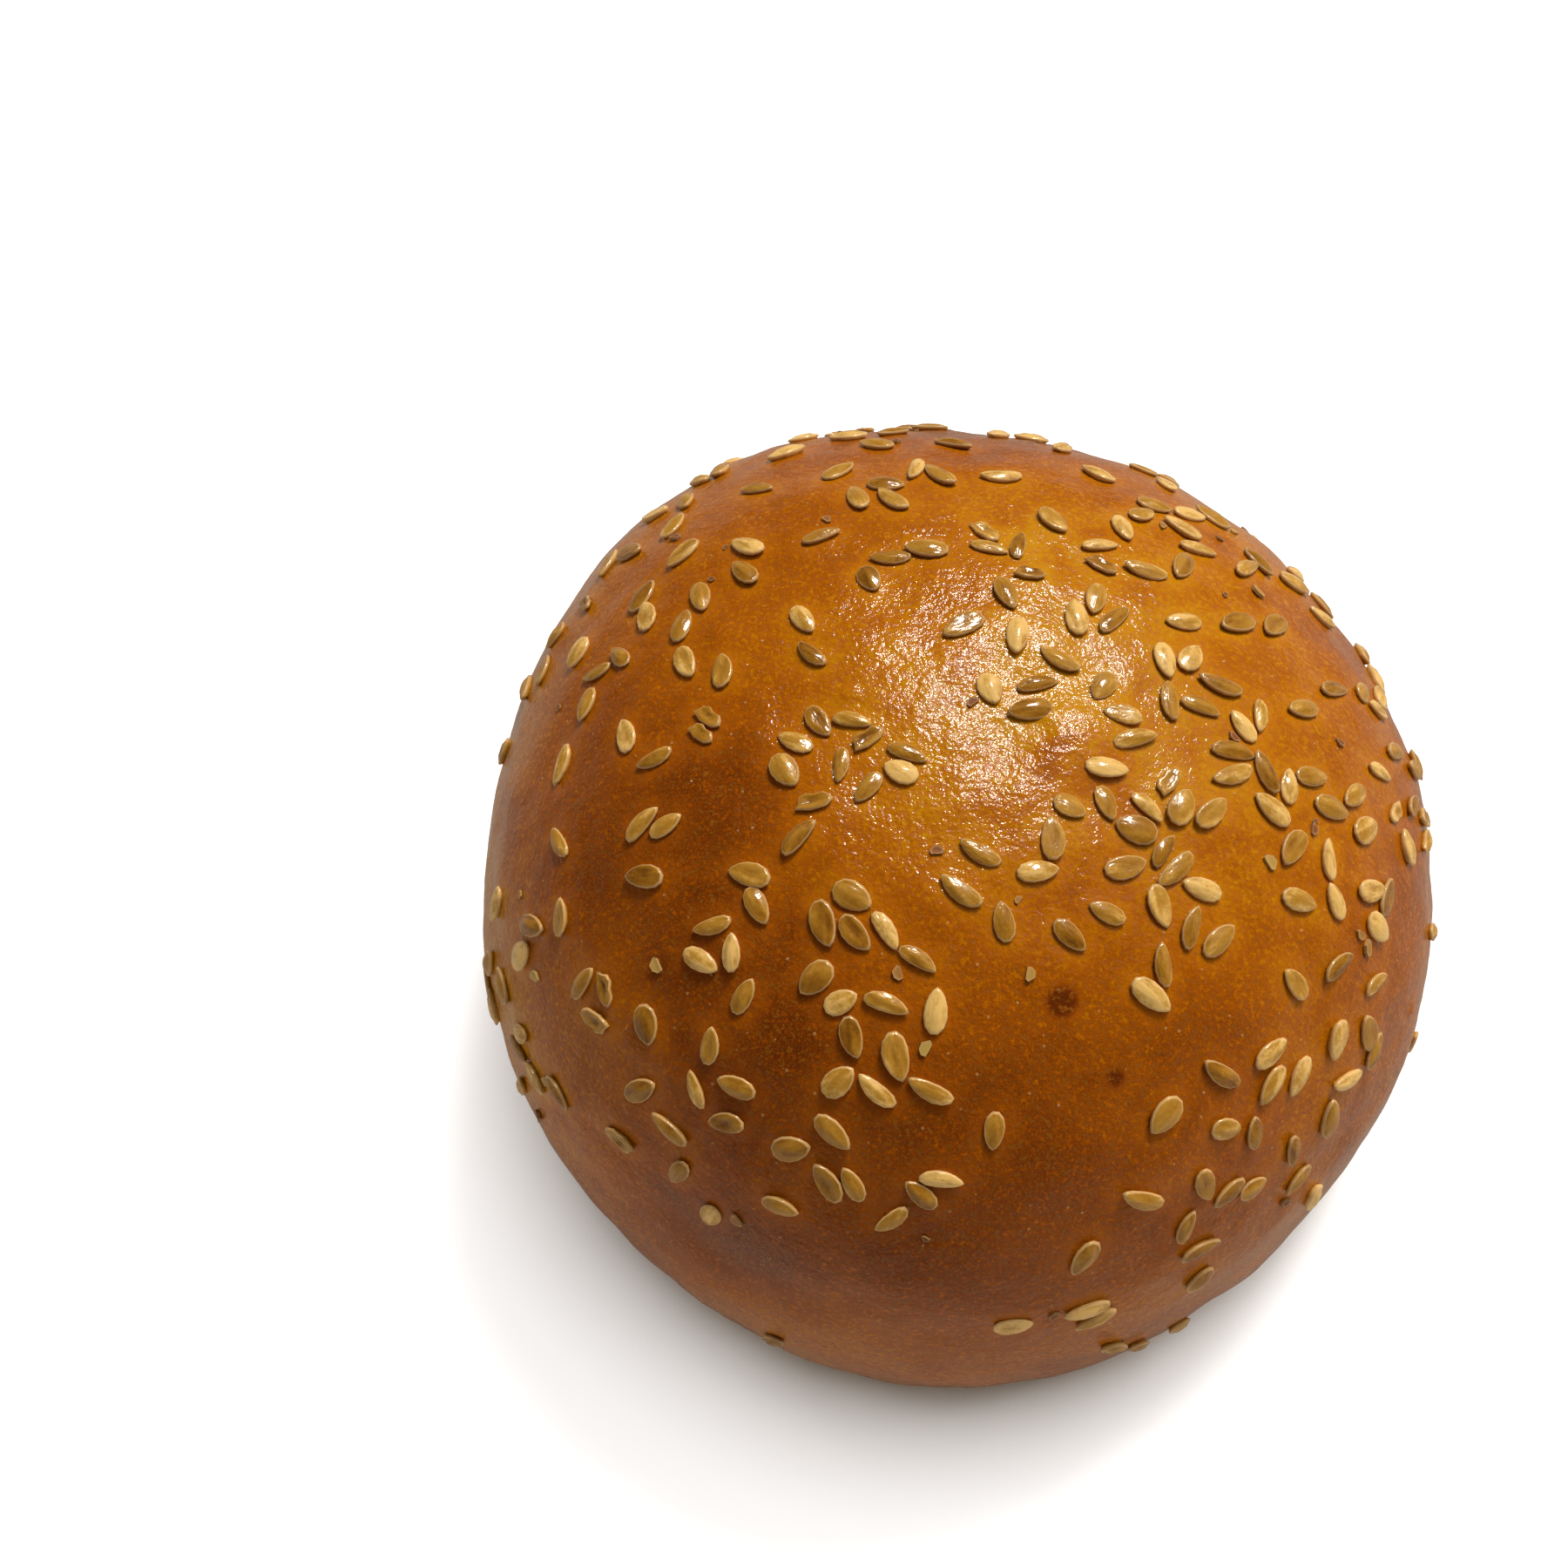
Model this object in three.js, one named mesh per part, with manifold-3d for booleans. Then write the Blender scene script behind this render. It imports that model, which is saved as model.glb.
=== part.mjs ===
// A round burger-style bread roll with a sesame top, baked on a flat tray.
// Millimetres, +Z up, standing on its flat foot with the origin in the middle of that foot.
// The crust is a lathed profile that is then swelled and dented by hand-sized lumps,
// and the sesame seeds are dusted on by a rule with seeded draws and fused to the crust.
import * as THREE from 'three';
import { mergeVertices } from 'three/addons/utils/BufferGeometryUtils.js';
import { ConvexGeometry } from 'three/addons/geometries/ConvexGeometry.js';
import Module from 'manifold-3d';

// Driving dimensions of the roll
const rollWidth = 96;
const rollHeight = 57.6;
const widestLevel = 0.3 * rollHeight;
const footWidth = 0.86 * rollWidth;
const crownRoundness = 2.5;
const crownFlatness = 2.3;

// Driving dimensions of one sesame seed, how deep it sits in the glaze, how sizes vary
// round the one given, and how many degrees a seed may lean to one side
const seedLength = 3.65;
const seedWidth = 1.95;
const seedThickness = 1.05;
const seedSunkShare = 0.3;
const seedTaper = 0.3;
const smallestSeed = 0.86;
const largestSeed = 1.1;
const mostLean = 7;

// The seed's foot below the crust, a little wider than what shows, and the three corners
// of its top as shares of half its length and width
const seedFootDepth = 0.4;
const seedFootSpread = 1.18;
const seedTopCorners = [[-0.42, 0.4], [-0.42, -0.4], [0.45, 0]];

// How finely the crust is faceted
const crustFacetsRound = 56;
const crustFacetsUp = 18;

// The dough's uneven spread: how many lobes, how far each stands out, and where one faces
const swells = [
  { lobes: 2, reach: 0.74, facing: 111 },
  { lobes: 3, reach: 0.6, facing: 12 },
  { lobes: 4, reach: 0.18, facing: 30 },
  { lobes: 5, reach: 0.34, facing: -16 },
];

// The swells leave the outline a little to one side, and this brings its middle to the origin
const outlineShift = [-0.54, 0.64];

// Local hollows (minus) and humps (plus), by the direction they face and how far they lie
// from the middle of the crown, measured along the crust
const dents = [
  { facing: 246, fromTop: 60, width: 9, depth: -1.3 },
  { facing: 266, fromTop: 49, width: 8, depth: 0.5 },
  { facing: 334, fromTop: 14, width: 6, depth: -0.35 },
  { facing: 128, fromTop: 58, width: 16, depth: 0.7 },
  { facing: 40, fromTop: 66, width: 10, depth: -0.6 },
];

// Hollows and humps fade out over this height above the tray, so that the foot stays flat
const flatEdgeRise = 8;

// Where the seeds fell together, as they do when they are shaken on by hand
const clumps = [
  { facing: 20, fromTop: 8, spread: 4, seeds: 8 },
  { facing: 217, fromTop: 12, spread: 4, seeds: 10 },
  { facing: 298, fromTop: 19, spread: 4.5, seeds: 8 },
  { facing: 330, fromTop: 20, spread: 3.4, seeds: 10 },
  { facing: 69, fromTop: 20, spread: 5, seeds: 8 },
  { facing: 120, fromTop: 20, spread: 8, seeds: 14 },
  { facing: 358, fromTop: 22, spread: 4.2, seeds: 9 },
  { facing: 258, fromTop: 25, spread: 4, seeds: 10 },
  { facing: 231, fromTop: 27, spread: 4, seeds: 5 },
  { facing: 175, fromTop: 27, spread: 6.5, seeds: 9 },
  { facing: 316, fromTop: 28, spread: 2.8, seeds: 6 },
  { facing: 205, fromTop: 30, spread: 3, seeds: 3 },
  { facing: 42, fromTop: 30, spread: 7, seeds: 15 },
  { facing: 341, fromTop: 35, spread: 6, seeds: 13 },
  { facing: 231, fromTop: 40, spread: 7, seeds: 12 },
  { facing: 153, fromTop: 40, spread: 8, seeds: 11 },
  { facing: 258, fromTop: 41, spread: 8, seeds: 8 },
  { facing: 95, fromTop: 42, spread: 9, seeds: 13 },
  { facing: 5, fromTop: 44, spread: 8, seeds: 13 },
  { facing: 323, fromTop: 47, spread: 6, seeds: 8 },
  { facing: 305, fromTop: 49, spread: 6, seeds: 9 },
  { facing: 68, fromTop: 50, spread: 8, seeds: 8 },
  { facing: 202, fromTop: 55, spread: 9, seeds: 13 },
  { facing: 287, fromTop: 62, spread: 11, seeds: 7 },
];

// The loose scatter between the clumps: how many seeds, how far down the crust they still
// lie thickly, and how far down the last ones reach
const scatteredSeeds = 52;
const thickTo = 44;
const thinTo = 80;
const triesForEach = 40;
const closestFit = 0.82;
const mapStep = 0.4;
const drawsStart = 20071;

const halfWidth = rollWidth / 2;
const middle = new THREE.Vector3(0, 0, widestLevel);
const degrees = Math.PI / 180;

// The side view of the smooth roll, from the foot's edge round the flank to the crown,
// as distances along the crust with the radius and the height there
function crustProfile() {
  const steps = 400;
  const points = [];
  for (let i = 0; i <= steps; i++) {
    const down = Math.cos((i / steps) * Math.PI / 2);
    const flank = footWidth / 2 + (halfWidth - footWidth / 2) * Math.sqrt(1 - down * down);
    points.push([flank, widestLevel * (1 - down)]);
  }
  for (let i = 1; i <= steps; i++) {
    const up = 1 - (1 - i / steps) ** 3;
    const crown = halfWidth * (1 - up ** crownFlatness) ** (1 / crownRoundness);
    points.push([crown, widestLevel + (rollHeight - widestLevel) * up]);
  }
  const lengths = [0];
  for (let i = 1; i < points.length; i++) {
    const [r, z] = points[i];
    const [lastR, lastZ] = points[i - 1];
    lengths.push(lengths[i - 1] + Math.hypot(r - lastR, z - lastZ));
  }
  return { points, lengths, total: lengths[lengths.length - 1] };
}

const profile = crustProfile();

// Radius and height on the smooth roll at a distance from the crown along the crust
function smoothProfileAt(fromTop) {
  const along = Math.min(Math.max(profile.total - fromTop, 0), profile.total);
  let low = 0;
  let high = profile.lengths.length - 1;
  while (high - low > 1) {
    const half = (low + high) >> 1;
    if (profile.lengths[half] <= along) {
      low = half;
    } else {
      high = half;
    }
  }
  const share = (along - profile.lengths[low]) / (profile.lengths[high] - profile.lengths[low]);
  const [r0, z0] = profile.points[low];
  const [r1, z1] = profile.points[high];
  return [r0 + (r1 - r0) * share, z0 + (z1 - z0) * share];
}

function smoothPoint(facing, fromTop) {
  const [r, z] = smoothProfileAt(fromTop);
  return new THREE.Vector3(r * Math.cos(facing), r * Math.sin(facing), z);
}

// The real, uneven roll: every point of the smooth one moved by the swells and the dents
function baked(point) {
  const facing = Math.atan2(point.y, point.x);
  let wider = 1;
  for (const s of swells) {
    wider += (s.reach / halfWidth) * Math.cos(s.lobes * (facing - s.facing * degrees));
  }
  let push = 0;
  for (const d of dents) {
    const away = point.distanceTo(smoothPoint(d.facing * degrees, d.fromTop));
    push += d.depth * Math.exp(-((away / d.width) ** 2));
  }
  const outwards = point.clone().sub(middle).normalize();
  const lift = Math.min(1, point.z / flatEdgeRise);
  const [shiftX, shiftY] = outlineShift;
  const moved = new THREE.Vector3(point.x * wider + shiftX, point.y * wider + shiftY, point.z);
  return moved.addScaledVector(outwards, push * lift);
}

// The crust's own solid: a closed lathe whose every point is baked out of round
function crustGeometry() {
  const outline = [new THREE.Vector2(0, 0)];
  for (let i = 0; i <= crustFacetsUp; i++) {
    const [r, z] = smoothProfileAt(profile.total * (1 - i / crustFacetsUp));
    outline.push(new THREE.Vector2(i === crustFacetsUp ? 0 : r, z));
  }
  const lathe = new THREE.LatheGeometry(outline, crustFacetsRound);
  lathe.rotateX(Math.PI / 2);
  const position = lathe.getAttribute('position');
  const point = new THREE.Vector3();
  for (let i = 0; i < position.count; i++) {
    point.fromBufferAttribute(position, i);
    const moved = baked(point);
    position.setXYZ(i, moved.x, moved.y, moved.z);
  }
  return lathe;
}

// A sesame seed lying flat: a six-sided foot, blunt at one end and drawn to a tip at the other,
// under a small raised top. Its foot lies below the crust, so that no gap shows under it.
function seedGeometry(length, width, thickness) {
  const points = [];
  for (let i = 0; i < 6; i++) {
    const along = Math.cos(i * Math.PI / 3);
    const across = Math.sin(i * Math.PI / 3) * (1 - seedTaper * along);
    const x = (seedFootSpread * along * length) / 2;
    const y = (seedFootSpread * across * width) / 2;
    points.push(new THREE.Vector3(x, y, -seedFootDepth));
  }
  for (const [along, across] of seedTopCorners) {
    const top = thickness * (1 - seedSunkShare);
    points.push(new THREE.Vector3((along * length) / 2, (across * width) / 2, top));
  }
  return new ConvexGeometry(points);
}

// Seeded draws between 0 and 1: the same start always gives the same roll
function seededDraws(start) {
  let state = start;
  return () => {
    state = (state * 48271) % 2147483647;
    return state / 2147483647;
  };
}

// The crust laid out flat round the crown, like a map seen from above: its points keep the
// direction that they face and their distance from the crown
function crustPoint(flatX, flatY) {
  return baked(smoothPoint(Math.atan2(flatY, flatX), Math.hypot(flatX, flatY)));
}

// A seed's own frame at a place on that map: where it lies, which way is out, and which way
// its tip points
function restingFrame(flatX, flatY, heading) {
  const at = crustPoint(flatX, flatY);
  const eastwards = crustPoint(flatX + mapStep, flatY).sub(at).normalize();
  const northwards = crustPoint(flatX, flatY + mapStep).sub(at).normalize();
  const out = eastwards.clone().cross(northwards).normalize();
  const tip = eastwards.multiplyScalar(Math.cos(heading));
  tip.addScaledVector(northwards, Math.sin(heading));
  tip.addScaledVector(out, -tip.dot(out)).normalize();
  return { at, out, tip };
}

// The middles of three discs that a seed's outline holds, along its length
function discMiddles({ frame, size }) {
  return [-0.27, 0, 0.27].map((share) => {
    return frame.at.clone().addScaledVector(frame.tip, share * seedLength * size);
  });
}

// Seeds may touch but not lie through each other
function clearOf(seed, others) {
  const discs = discMiddles(seed);
  return others.every((other) => {
    const closest = (closestFit * seedWidth * (seed.size + other.size)) / 2;
    return other.discs.every((there) => discs.every((here) => here.distanceTo(there) >= closest));
  });
}

// All the seeds: first those that fell in clumps, then the scatter that thins out downwards
function dustedSeeds() {
  const draw = seededDraws(drawsStart);
  const seeds = [];
  const drop = (flatX, flatY) => {
    const frame = restingFrame(flatX, flatY, draw() * 2 * Math.PI);
    const size = smallestSeed + (largestSeed - smallestSeed) * draw();
    const lean = mostLean * (2 * draw() - 1);
    const seed = { frame, size, lean };
    if (Math.hypot(flatX, flatY) > thinTo || !clearOf(seed, seeds)) {
      return false;
    }
    seeds.push({ ...seed, discs: discMiddles(seed) });
    return true;
  };
  for (const clump of clumps) {
    const centreX = clump.fromTop * Math.cos(clump.facing * degrees);
    const centreY = clump.fromTop * Math.sin(clump.facing * degrees);
    for (let n = 0; n < clump.seeds; n++) {
      for (let tries = 0; tries < triesForEach; tries++) {
        const away = clump.spread * (draw() + draw());
        const round = draw() * 2 * Math.PI;
        if (drop(centreX + away * Math.cos(round), centreY + away * Math.sin(round))) {
          break;
        }
      }
    }
  }
  for (let n = 0; n < scatteredSeeds; n++) {
    for (let tries = 0; tries < triesForEach; tries++) {
      const away = thinTo * Math.sqrt(draw());
      const round = draw() * 2 * Math.PI;
      const thinning = Math.min(1, Math.max(0, (thinTo - away) / (thinTo - thickTo))) ** 2;
      if (draw() < thinning && drop(away * Math.cos(round), away * Math.sin(round))) {
        break;
      }
    }
  }
  return seeds;
}

// A seed set down in its frame, leaning a little, with its underside sunk in the glaze
function placedSeed({ frame, size, lean }) {
  const geometry = seedGeometry(seedLength * size, seedWidth * size, seedThickness * size);
  const side = frame.out.clone().cross(frame.tip);
  const leaning = new THREE.Matrix4().makeRotationX(lean * degrees);
  const lying = new THREE.Matrix4().makeBasis(frame.tip, side, frame.out);
  lying.setPosition(frame.at);
  geometry.applyMatrix4(lying.multiply(leaning));
  return geometry;
}

const wasm = await Module();
wasm.setup();

// A closed three.js geometry as a solid that can be joined
function solidOf(geometry) {
  geometry.deleteAttribute('normal');
  geometry.deleteAttribute('uv');
  const merged = mergeVertices(geometry, 1e-4);
  return new wasm.Manifold(new wasm.Mesh({
    numProp: 3,
    vertProperties: new Float32Array(merged.getAttribute('position').array),
    triVerts: new Uint32Array(merged.getIndex().array),
  }));
}

function geometryOf(solid) {
  const mesh = solid.getMesh();
  const geometry = new THREE.BufferGeometry();
  geometry.setAttribute('position', new THREE.BufferAttribute(mesh.vertProperties, 3));
  geometry.setIndex(new THREE.BufferAttribute(mesh.triVerts, 1));
  geometry.computeVertexNormals();
  return geometry;
}

// The whole roll: the crust with every seed fused to it
function rollGeometry() {
  let roll = solidOf(crustGeometry());
  for (const seed of dustedSeeds()) {
    roll = roll.add(solidOf(placedSeed(seed)));
  }
  return geometryOf(roll);
}

const crust = new THREE.MeshStandardMaterial({ color: 0xb5702a, roughness: 0.35, metalness: 0 });
const roll = new THREE.Mesh(rollGeometry(), crust);
roll.name = 'roll';

const part = new THREE.Group();
part.add(roll);

export default part;
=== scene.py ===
from math import atan2, cos, hypot, pi, radians, sin

import bpy
import numpy as np
from mathutils import Matrix, Vector


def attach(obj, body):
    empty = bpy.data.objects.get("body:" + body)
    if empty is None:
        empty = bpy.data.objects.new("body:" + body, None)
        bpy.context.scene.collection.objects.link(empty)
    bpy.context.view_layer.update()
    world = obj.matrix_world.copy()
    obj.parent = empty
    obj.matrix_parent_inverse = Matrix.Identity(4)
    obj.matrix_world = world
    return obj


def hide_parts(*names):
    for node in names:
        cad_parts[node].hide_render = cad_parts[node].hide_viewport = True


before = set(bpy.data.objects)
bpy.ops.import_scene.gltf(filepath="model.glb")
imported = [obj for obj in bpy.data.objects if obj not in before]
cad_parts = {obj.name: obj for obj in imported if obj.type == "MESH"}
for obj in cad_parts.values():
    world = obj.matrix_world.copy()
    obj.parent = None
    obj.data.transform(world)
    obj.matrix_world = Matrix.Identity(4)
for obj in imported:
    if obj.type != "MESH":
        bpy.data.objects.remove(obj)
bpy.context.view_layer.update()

# Crust: the egg-glazed, browned skin of one round soft roll, domed by proving and flat where it
# baked on its tray. A turned profile, swelled and dented like hand-shaped dough. It stands for
# the whole roll, which is crumb all through.
roll_width = 0.096
roll_height = 0.0576
widest_level = 0.3 * roll_height
foot_width = 0.86 * roll_width
crown_roundness = 2.5
crown_flatness = 2.3
half_width = roll_width / 2

# Lobes, how far each stands out and the direction that one faces, in degrees
swells = [(2, 0.00074, 111), (3, 0.0006, 12), (4, 0.00018, 30), (5, 0.00034, -16)]
outline_shift = np.array([-0.00054, 0.00064, 0.0])

# Hollows and humps: the direction faced, the way down the crust from the crown, width, depth
dents = [
    (246, 0.060, 0.009, -0.0013),
    (266, 0.049, 0.008, 0.0005),
    (334, 0.014, 0.006, -0.00035),
    (128, 0.058, 0.016, 0.0007),
    (40, 0.066, 0.010, -0.0006),
]
flat_edge_rise = 0.008


def crust_profile(steps=400):
    """The smooth roll's side view by length along the crust, from the foot's edge to the crown."""
    down = np.cos(np.linspace(0, pi / 2, steps + 1))
    flank = foot_width / 2 + (half_width - foot_width / 2) * np.sqrt(np.clip(1 - down**2, 0, 1))
    up = 1 - (1 - np.linspace(0, 1, steps + 1)[1:]) ** 3
    crown = half_width * (1 - up**crown_flatness) ** (1 / crown_roundness)
    r = np.concatenate([flank, crown])
    z = np.concatenate([widest_level * (1 - down), widest_level + (roll_height - widest_level) * up])
    lengths = np.concatenate([[0], np.cumsum(np.hypot(np.diff(r), np.diff(z)))])
    return lengths, r, z


profile_lengths, profile_r, profile_z = crust_profile()
crust_length = profile_lengths[-1]


def smooth_point(facing, from_top):
    """The place on the smooth roll that faces a way, so far down the crust from the crown."""
    along = np.clip(crust_length - from_top, 0, crust_length)
    r = np.interp(along, profile_lengths, profile_r)
    z = np.interp(along, profile_lengths, profile_z)
    return np.stack(np.broadcast_arrays(r * np.cos(facing), r * np.sin(facing), z), axis=-1)


def baked(points):
    """The real, uneven roll: smooth points moved by the swells, the hollows and the humps."""
    facing = np.arctan2(points[..., 1], points[..., 0])
    wider = 1.0
    for lobes, reach, faces in swells:
        wider = wider + reach / half_width * np.cos(lobes * (facing - radians(faces)))
    push = 0.0
    for faces, from_top, width, depth in dents:
        away = np.linalg.norm(points - smooth_point(radians(faces), from_top), axis=-1)
        push = push + depth * np.exp(-(away / width) ** 2)
    outwards = points - np.array([0, 0, widest_level])
    outwards = outwards / np.maximum(np.linalg.norm(outwards, axis=-1, keepdims=True), 1e-9)
    push = push * np.minimum(1, points[..., 2] / flat_edge_rise)
    spread = np.stack([wider, wider, np.ones_like(wider)], axis=-1)
    return points * spread + outline_shift + outwards * push[..., None]


def turned_crust(name, around, foot_rings, crust_rings):
    """A closed mesh of the whole roll: the foot's middle, rings outwards and up, the crown."""
    facing = np.linspace(0, 2 * pi, around, endpoint=False)
    foot_r = foot_width / 2 * np.arange(1, foot_rings) / foot_rings
    foot = [np.stack([r * np.cos(facing), r * np.sin(facing), 0 * facing], -1) for r in foot_r]
    ways_down = crust_length * (1 - np.arange(crust_rings) / crust_rings)
    crust = [smooth_point(facing, way) for way in ways_down]
    rings = np.concatenate(foot + crust)
    ends = np.array([[0, 0, 0], [0, 0, roll_height]])
    points = baked(np.concatenate([rings, ends]))
    count = len(foot) + len(crust)
    faces = []
    for ring in range(count - 1):
        for i in range(around):
            low, low_next = ring * around + i, ring * around + (i + 1) % around
            faces.append((low, low_next, low_next + around, low + around))
    foot_middle, crown_top = len(rings), len(rings) + 1
    last = (count - 1) * around
    for i in range(around):
        faces.append((foot_middle, (i + 1) % around, i))
        faces.append((last + i, last + (i + 1) % around, crown_top))
    mesh = bpy.data.meshes.new(name)
    mesh.from_pydata(points.tolist(), [], faces)
    mesh.shade_smooth()
    piece = bpy.data.objects.new(name, mesh)
    bpy.context.scene.collection.objects.link(piece)
    return piece


class Wire:
    """A socket of a node tree. Sums on wires and numbers add the Math nodes that work them out."""

    def __init__(self, socket):
        self.socket = socket
        self.tree = socket.id_data

    def math(self, operation, *values):
        return add_node(self.tree, "ShaderNodeMath", {"operation": operation}, values)

    def __add__(self, other):
        return self.math("ADD", self, other)

    def __radd__(self, other):
        return self.math("ADD", other, self)

    def __sub__(self, other):
        return self.math("SUBTRACT", self, other)

    def __rsub__(self, other):
        return self.math("SUBTRACT", other, self)

    def __mul__(self, other):
        return self.math("MULTIPLY", self, other)

    def __rmul__(self, other):
        return self.math("MULTIPLY", other, self)

    def __truediv__(self, other):
        return self.math("DIVIDE", self, other)

    def __rtruediv__(self, other):
        return self.math("DIVIDE", other, self)

    def over(self, low, high):
        """0 below low, 1 above high and smooth between, or the other way round."""
        limits = {"Value": self, "From Min": low, "From Max": high}
        return add_node(self.tree, "ShaderNodeMapRange", {"interpolation_type": "SMOOTHSTEP"}, limits)


def add_node(tree, kind, settings=None, values=(), output=0):
    """Adds any node: first its settings, then its sockets' values or wires. Returns an output."""
    node = tree.nodes.new(kind)
    for name, setting in (settings or {}).items():
        if name == "stops":
            ramp = node.color_ramp
            while len(ramp.elements) < len(setting):
                ramp.elements.new(0.5)
            for element, (position, colour) in zip(ramp.elements, setting):
                element.position = position
                element.color = (*colour, 1)
        else:
            setattr(node, name, setting)
    pairs = values.items() if isinstance(values, dict) else enumerate(values)
    for key, value in pairs:
        socket = node.inputs[key]
        if isinstance(value, Wire):
            tree.links.new(value.socket, socket)
        else:
            socket.default_value = value
    enabled = [socket for socket in node.outputs if socket.enabled]
    if not enabled:
        return node
    return Wire(node.outputs[output] if isinstance(output, str) else enabled[output])


def shape_tree(name, inputs):
    """An empty Geometry Nodes tree with named inputs, and the wires that come from them."""
    tree = bpy.data.node_groups.new(name, "GeometryNodeTree")
    tree.interface.new_socket(name="Geometry", in_out="INPUT", socket_type="NodeSocketGeometry")
    tree.interface.new_socket(name="Geometry", in_out="OUTPUT", socket_type="NodeSocketGeometry")
    for label, (kind, _) in inputs.items():
        tree.interface.new_socket(name=label, in_out="INPUT", socket_type=f"NodeSocket{kind}")
    group = tree.nodes.new("NodeGroupInput")
    return tree, {socket.name: Wire(socket) for socket in group.outputs if socket.name}


def grown(piece, tree, inputs):
    """Runs a Geometry Nodes tree on a piece and keeps the result as its own plain mesh."""
    modifier = piece.modifiers.new(tree.name, "NODES")
    modifier.node_group = tree
    for item in tree.interface.items_tree:
        if item.in_out == "INPUT" and item.name in inputs:
            modifier[item.identifier] = inputs[item.name][1]
    seen = piece.evaluated_get(bpy.context.evaluated_depsgraph_get())
    mesh = bpy.data.meshes.new_from_object(seen)
    mesh.name = piece.name
    piece.modifiers.remove(modifier)
    piece.data = mesh
    return piece


# The rule by which seeds fall on the crown is needed here already, because the glaze is paler
# round each seed. It is the same rule, with the same draws, that placed the solid's seeds.
seed_length = 0.00365
seed_width = 0.00195
smallest_seed, largest_seed = 0.86, 1.1
most_lean = 7
draws_start = 20071
tries_for_each = 40
closest_fit = 0.82
end_discs = 0.27
map_step = 0.0004
scattered_seeds = 52
thick_to, thin_to = 0.044, 0.080

# The direction that each clump faces, its way down from the crown, its spread and its seeds
clumps = [
    (20, 0.008, 0.004, 8),
    (217, 0.012, 0.004, 10),
    (298, 0.019, 0.0045, 8),
    (330, 0.020, 0.0034, 10),
    (69, 0.020, 0.005, 8),
    (120, 0.020, 0.008, 14),
    (358, 0.022, 0.0042, 9),
    (258, 0.025, 0.004, 10),
    (231, 0.027, 0.004, 5),
    (175, 0.027, 0.0065, 9),
    (316, 0.028, 0.0028, 6),
    (205, 0.030, 0.003, 3),
    (42, 0.030, 0.007, 15),
    (341, 0.035, 0.006, 13),
    (231, 0.040, 0.007, 12),
    (153, 0.040, 0.008, 11),
    (258, 0.041, 0.008, 8),
    (95, 0.042, 0.009, 13),
    (5, 0.044, 0.008, 13),
    (323, 0.047, 0.006, 8),
    (305, 0.049, 0.006, 9),
    (68, 0.050, 0.008, 8),
    (202, 0.055, 0.009, 13),
    (287, 0.062, 0.011, 7),
]


def seeded_draws(start):
    """Draws between 0 and 1 that are the same each time for the same start."""
    state = start
    while True:
        state = state * 48271 % 2147483647
        yield state / 2147483647


def crust_points(flat):
    """Points on the crust, from places on a flat map of it laid out round the crown."""
    flat = np.asarray(flat)
    return baked(smooth_point(np.arctan2(flat[:, 1], flat[:, 0]), np.hypot(flat[:, 0], flat[:, 1])))


def unit(vector):
    return vector / np.linalg.norm(vector)


def resting_frame(x, y, heading):
    """Where a thing dropped on the map lies, which way is out, and which way its tip points."""
    at, east, north = crust_points([(x, y), (x + map_step, y), (x, y + map_step)])
    east = unit(east - at)
    north = unit(north - at)
    out = unit(np.cross(east, north))
    tip = east * cos(heading) + north * sin(heading)
    return at, out, unit(tip - out * np.dot(tip, out))


def dusted_seeds():
    """Every seed as its place, outward way, tip's way, size, lean and the discs that it covers."""
    draws = seeded_draws(draws_start)
    seeds = []

    def drop(x, y):
        at, out, tip = resting_frame(x, y, next(draws) * 2 * pi)
        size = smallest_seed + (largest_seed - smallest_seed) * next(draws)
        lean = most_lean * (2 * next(draws) - 1)
        if hypot(x, y) > thin_to:
            return False
        discs = at + np.outer([-end_discs, 0, end_discs], tip) * seed_length * size
        for other in seeds:
            gaps = np.linalg.norm(discs[:, None] - other["discs"][None], axis=-1)
            if gaps.min() < closest_fit * seed_width * (size + other["size"]) / 2:
                return False
        seeds.append({"at": at, "out": out, "tip": tip, "size": size, "lean": lean, "discs": discs})
        return True

    for faces, from_top, spread, count in clumps:
        centre_x = from_top * cos(radians(faces))
        centre_y = from_top * sin(radians(faces))
        for _ in range(count):
            for _ in range(tries_for_each):
                away = spread * (next(draws) + next(draws))
                turn = next(draws) * 2 * pi
                if drop(centre_x + away * cos(turn), centre_y + away * sin(turn)):
                    break
    for _ in range(scattered_seeds):
        for _ in range(tries_for_each):
            away = thin_to * next(draws) ** 0.5
            turn = next(draws) * 2 * pi
            thinning = min(1, max(0, (thin_to - away) / (thin_to - thick_to))) ** 2
            if next(draws) < thinning and drop(away * cos(turn), away * sin(turn)):
                break
    return seeds


seeds = dusted_seeds()
seed_marks = bpy.data.meshes.new("seed_marks")
seed_marks.from_pydata(np.concatenate([seed["discs"] for seed in seeds]).tolist(), [], [])
seed_marks_object = bpy.data.objects.new("seed_marks", seed_marks)
bpy.context.scene.collection.objects.link(seed_marks_object)

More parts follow.
